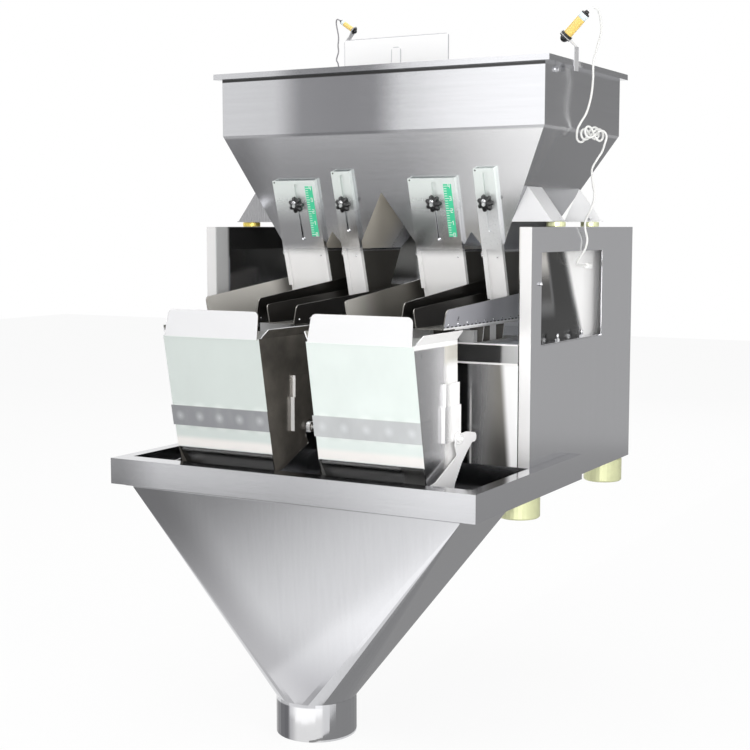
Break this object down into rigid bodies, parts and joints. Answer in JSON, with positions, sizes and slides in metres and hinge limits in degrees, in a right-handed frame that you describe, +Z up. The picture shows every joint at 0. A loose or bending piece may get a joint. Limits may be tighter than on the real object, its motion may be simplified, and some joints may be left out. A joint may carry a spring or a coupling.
{
  "type": "two-head linear weigher",
  "caption": "Stainless linear weigher: hopper with gated spouts over vibrating pans, weigh buckets with bottom flaps and a square-to-round discharge funnel.",
  "frame": {"origin": "middle of the four feet, on the platform they stand on", "axes": "+X to the machine's right across its width, +Y from the bucket side to the rear panel, +Z up"},
  "size_m": [0.7894, 0.8626, 1.4055],
  "materials": {
    "stainless_brushed": "brushed sheet",
    "stainless_bright": "bright ground sheet",
    "zinc_yellow": "yellow zinc plate",
    "drive_casting": "as cast",
    "load_cell_alloy": "machined",
    "moulded_black": "moulded",
    "sensor_body": "glossy",
    "cable_sheath": "satin sheath",
    "cable_sheath_grey": "satin sheath"
  },
  "bodies": {
    "machine": {"cheek_shell_left": "stainless_brushed", "cheek_liner_left": "stainless_brushed", "cheek_shell_right": "stainless_brushed", "cheek_liner_right": "stainless_brushed", "deck": "stainless_brushed", "front_panel": "stainless_brushed", "rear_and_floor": "stainless_brushed", "hopper": "stainless_brushed", "discharge_tray": "stainless_brushed", "funnel": "stainless_brushed", "foot_front_left": "zinc_yellow", "hopper_post_front_left": "zinc_yellow", "hopper_bracket_front_left": "stainless_bright", "foot_front_right": "zinc_yellow", "hopper_post_front_right": "zinc_yellow", "hopper_bracket_front_right": "stainless_bright", "foot_rear_left": "zinc_yellow", "hopper_post_rear_left": "zinc_yellow", "hopper_bracket_rear_left": "stainless_bright", "foot_rear_right": "zinc_yellow", "hopper_post_rear_right": "zinc_yellow", "hopper_bracket_rear_right": "stainless_bright", "gate_guide_1": "stainless_brushed", "pan_drive_1": "drive_casting", "gate_guide_2": "stainless_brushed", "pan_drive_2": "drive_casting", "gate_guide_3": "stainless_brushed", "pan_drive_3": "drive_casting", "gate_guide_4": "stainless_brushed", "pan_drive_4": "drive_casting", "bucket_a": "stainless_brushed", "load_cell_a": "load_cell_alloy", "bucket_b": "stainless_brushed", "load_cell_b": "load_cell_alloy", "rear_plate": "stainless_bright", "sensor_bracket_left": "stainless_bright", "sensor_left": "sensor_body", "sensor_bracket_right": "stainless_bright", "sensor_right": "sensor_body", "cable_right_upper": "cable_sheath", "cable_right_hank": "cable_sheath", "cable_right_lower": "cable_sheath", "cable_left": "cable_sheath_grey"},
    "gate_body_1": {"gate_1": "stainless_bright"},
    "gate_knob_body_1": {"gate_knob_1": "moulded_black"},
    "pan_body_1": {"pan_1": "stainless_brushed"},
    "gate_body_2": {"gate_2": "stainless_bright"},
    "gate_knob_body_2": {"gate_knob_2": "moulded_black"},
    "pan_body_2": {"pan_2": "stainless_brushed"},
    "gate_body_3": {"gate_3": "stainless_bright"},
    "gate_knob_body_3": {"gate_knob_3": "moulded_black"},
    "pan_body_3": {"pan_3": "stainless_brushed"},
    "gate_body_4": {"gate_4": "stainless_bright"},
    "gate_knob_body_4": {"gate_knob_4": "moulded_black"},
    "pan_body_4": {"pan_4": "stainless_brushed"},
    "flap_body_a": {"bucket_flap_a": "stainless_bright"},
    "crank_body_a": {"flap_crank_a": "stainless_bright"},
    "flap_body_b": {"bucket_flap_b": "stainless_bright"},
    "crank_body_b": {"flap_crank_b": "stainless_bright"}
  },
  "joints": [
    {"name": "gate_slide_1", "type": "slide", "parent": "machine", "child": "gate_body_1", "axis": [0, -0.2785, 0.9604], "range_m": [-0.034, 0.034]},
    {"name": "gate_knob_turn_1", "type": "hinge", "parent": "gate_body_1", "child": "gate_knob_body_1", "pos_m": [-0.19, -0.17383, 0.58679], "axis": [0, -0.9604, -0.2785], "range_deg": [-20, 360]},
    {"name": "gate_slide_2", "type": "slide", "parent": "machine", "child": "gate_body_2", "axis": [0, -0.2785, 0.9604], "range_m": [-0.034, 0.034]},
    {"name": "gate_knob_turn_2", "type": "hinge", "parent": "gate_body_2", "child": "gate_knob_body_2", "pos_m": [-0.0805, -0.17383, 0.58679], "axis": [0, -0.9604, -0.2785], "range_deg": [-20, 360]},
    {"name": "gate_slide_3", "type": "slide", "parent": "machine", "child": "gate_body_3", "axis": [0, -0.2785, 0.9604], "range_m": [-0.034, 0.034]},
    {"name": "gate_knob_turn_3", "type": "hinge", "parent": "gate_body_3", "child": "gate_knob_body_3", "pos_m": [0.12, -0.17383, 0.58679], "axis": [0, -0.9604, -0.2785], "range_deg": [-20, 360]},
    {"name": "gate_slide_4", "type": "slide", "parent": "machine", "child": "gate_body_4", "axis": [0, -0.2785, 0.9604], "range_m": [-0.034, 0.034]},
    {"name": "gate_knob_turn_4", "type": "hinge", "parent": "gate_body_4", "child": "gate_knob_body_4", "pos_m": [0.2295, -0.17383, 0.58679], "axis": [0, -0.9604, -0.2785], "range_deg": [-20, 360]},
    {"name": "pan_vibration_1", "type": "slide", "parent": "machine", "child": "pan_body_1", "axis": [0, -0.9793, 0.2026], "range_m": [-0.00075, 0.00075], "stiffness_N_per_m": 30000},
    {"name": "pan_vibration_2", "type": "slide", "parent": "machine", "child": "pan_body_2", "axis": [0, -0.9793, 0.2026], "range_m": [-0.00075, 0.00075], "stiffness_N_per_m": 20000},
    {"name": "pan_vibration_3", "type": "slide", "parent": "machine", "child": "pan_body_3", "axis": [0, -0.9793, 0.2026], "range_m": [-0.00075, 0.00075], "stiffness_N_per_m": 30000},
    {"name": "pan_vibration_4", "type": "slide", "parent": "machine", "child": "pan_body_4", "axis": [0, -0.9793, 0.2026], "range_m": [-0.00075, 0.00075], "stiffness_N_per_m": 20000},
    {"name": "flap_crank_turn_a", "type": "hinge", "parent": "machine", "child": "crank_body_a", "pos_m": [-0.155, -0.308, 0.17], "axis": [0, -1, 0], "range_deg": [0, 90]},
    {"name": "flap_hinge_a", "type": "hinge", "parent": "machine", "child": "flap_body_a", "pos_m": [-0.155, -0.388, 0.165], "axis": [1, 0, 0], "range_deg": [0, 45], "stiffness_Nm_per_rad": 0.4, "springref_deg": -34.38},
    {"name": "flap_crank_turn_b", "type": "hinge", "parent": "machine", "child": "crank_body_b", "pos_m": [0.155, -0.308, 0.17], "axis": [0, -1, 0], "range_deg": [0, 90]},
    {"name": "flap_hinge_b", "type": "hinge", "parent": "machine", "child": "flap_body_b", "pos_m": [0.155, -0.388, 0.165], "axis": [1, 0, 0], "range_deg": [0, 45], "stiffness_Nm_per_rad": 0.4, "springref_deg": -34.38}
  ],
  "couplings": [
    {"joint": "flap_hinge_a", "follows": "flap_crank_turn_a", "ratio": 0.5},
    {"joint": "flap_hinge_b", "follows": "flap_crank_turn_b", "ratio": 0.5}
  ]
}
